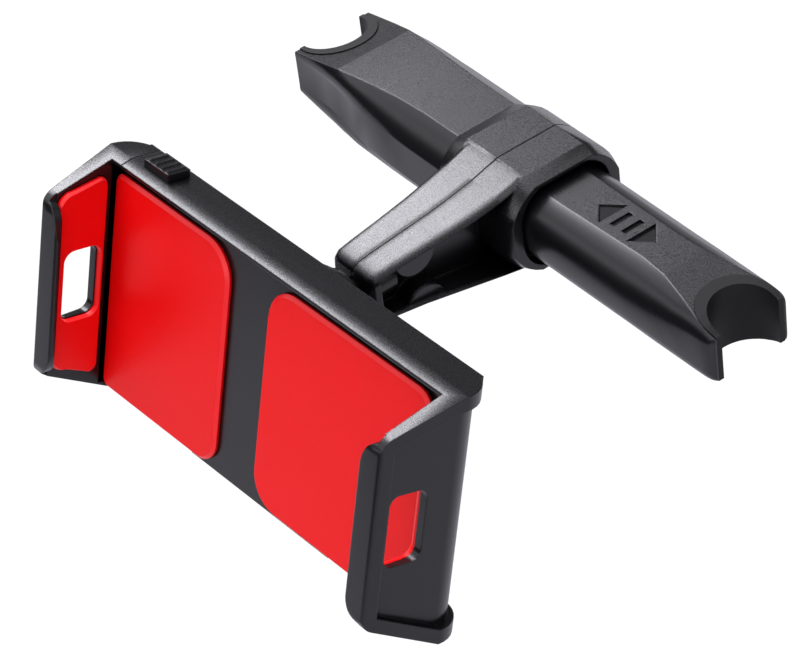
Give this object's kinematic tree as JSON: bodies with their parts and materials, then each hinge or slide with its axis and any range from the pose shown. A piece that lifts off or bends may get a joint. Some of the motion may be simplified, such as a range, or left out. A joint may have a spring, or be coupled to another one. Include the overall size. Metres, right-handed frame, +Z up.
{
  "type": "headrest tablet mount",
  "caption": "Telescopic bar that clamps between headrest posts, with an arm, a ball joint and a spring-jaw tablet holder with soft pads.",
  "frame": {"origin": "middle of the bar between the two headrest posts, on the bar's axis", "axes": "+X along the bar towards the sliding rod, -Y from the bar towards the tablet holder, +Z up along the headrest posts"},
  "size_m": [0.1878, 0.1503, 0.0808],
  "materials": {
    "black": "fine grained black moulded plastic",
    "soft_black": "smooth dark rubber-like lining",
    "ball_plastic": "glossy black ball",
    "red_rubber": "smooth bright red silicone",
    "steel": "plain bright steel"
  },
  "bodies": {
    "bar": {"left_tube": "black", "post_liner_left": "soft_black", "rod_spring": "steel", "spring_guide": "steel", "stop_screw": "steel", "arm_shell_left": "black", "arm_shell_right": "black", "arm_screws": "steel", "ball_stud": "ball_plastic"},
    "rod": {"right_rod": "black", "post_liner_right": "soft_black"},
    "tilt_seat": {"seat_liner": "steel"},
    "turn_ring": {"pressure_ring": "soft_black"},
    "holder": {"ball_socket": "black", "socket_screws": "steel", "holder_front": "black", "holder_back": "black", "cover_screws": "steel", "back_pad_left": "red_rubber", "back_pad_right": "red_rubber", "claw_pad_right": "red_rubber", "jaw_spring_top": "steel", "jaw_spring_bottom": "steel"},
    "nut": {"lock_nut": "black"},
    "jaw_body": {"jaw": "black", "claw_pad_left": "red_rubber"},
    "lock": {"lock_slider": "black"},
    "pawl": {"latch_pawl": "steel"}
  },
  "joints": [
    {"name": "rod_slide", "type": "slide", "parent": "bar", "child": "rod", "axis": [1, 0, 0], "range_m": [-0.043, 0], "stiffness_N_per_m": 250, "springref_m": 0.02, "deforming": ["rod_spring"]},
    {"name": "holder_tilt", "type": "hinge", "parent": "bar", "child": "tilt_seat", "pos_m": [0, -0.072, 0], "axis": [1, 0, 0], "range_deg": [-14, 45]},
    {"name": "holder_turn", "type": "hinge", "parent": "tilt_seat", "child": "turn_ring", "pos_m": [0, -0.072, 0], "axis": [-0.0207, 0.2669, 0.9635], "range_deg": [-30, 30]},
    {"name": "holder_spin", "type": "hinge", "parent": "turn_ring", "child": "holder", "pos_m": [0, -0.072, 0], "axis": [-0.016, 0.9635, -0.2672], "continuous": true},
    {"name": "nut_turn", "type": "hinge", "parent": "holder", "child": "nut", "pos_m": [0, -0.072, 0], "axis": [-0.016, 0.9635, -0.2672], "range_deg": [-30, 30]},
    {"name": "jaw_slide", "type": "slide", "parent": "holder", "child": "jaw_body", "axis": [-0.9997, -0.0209, -0.0157], "range_m": [0, 0.09], "stiffness_N_per_m": 60, "springref_m": -0.03, "deforming": ["jaw_spring_top", "jaw_spring_bottom"]},
    {"name": "lock_slide", "type": "slide", "parent": "holder", "child": "lock", "axis": [0.9997, 0.0209, 0.0157], "range_m": [0, 0.004]},
    {"name": "pawl_drop", "type": "slide", "parent": "holder", "child": "pawl", "axis": [0.0207, -0.2669, -0.9635], "range_m": [0, 0.0022]}
  ],
  "couplings": [
    {"joint": "pawl_drop", "follows": "lock_slide", "ratio": 0.55}
  ]
}
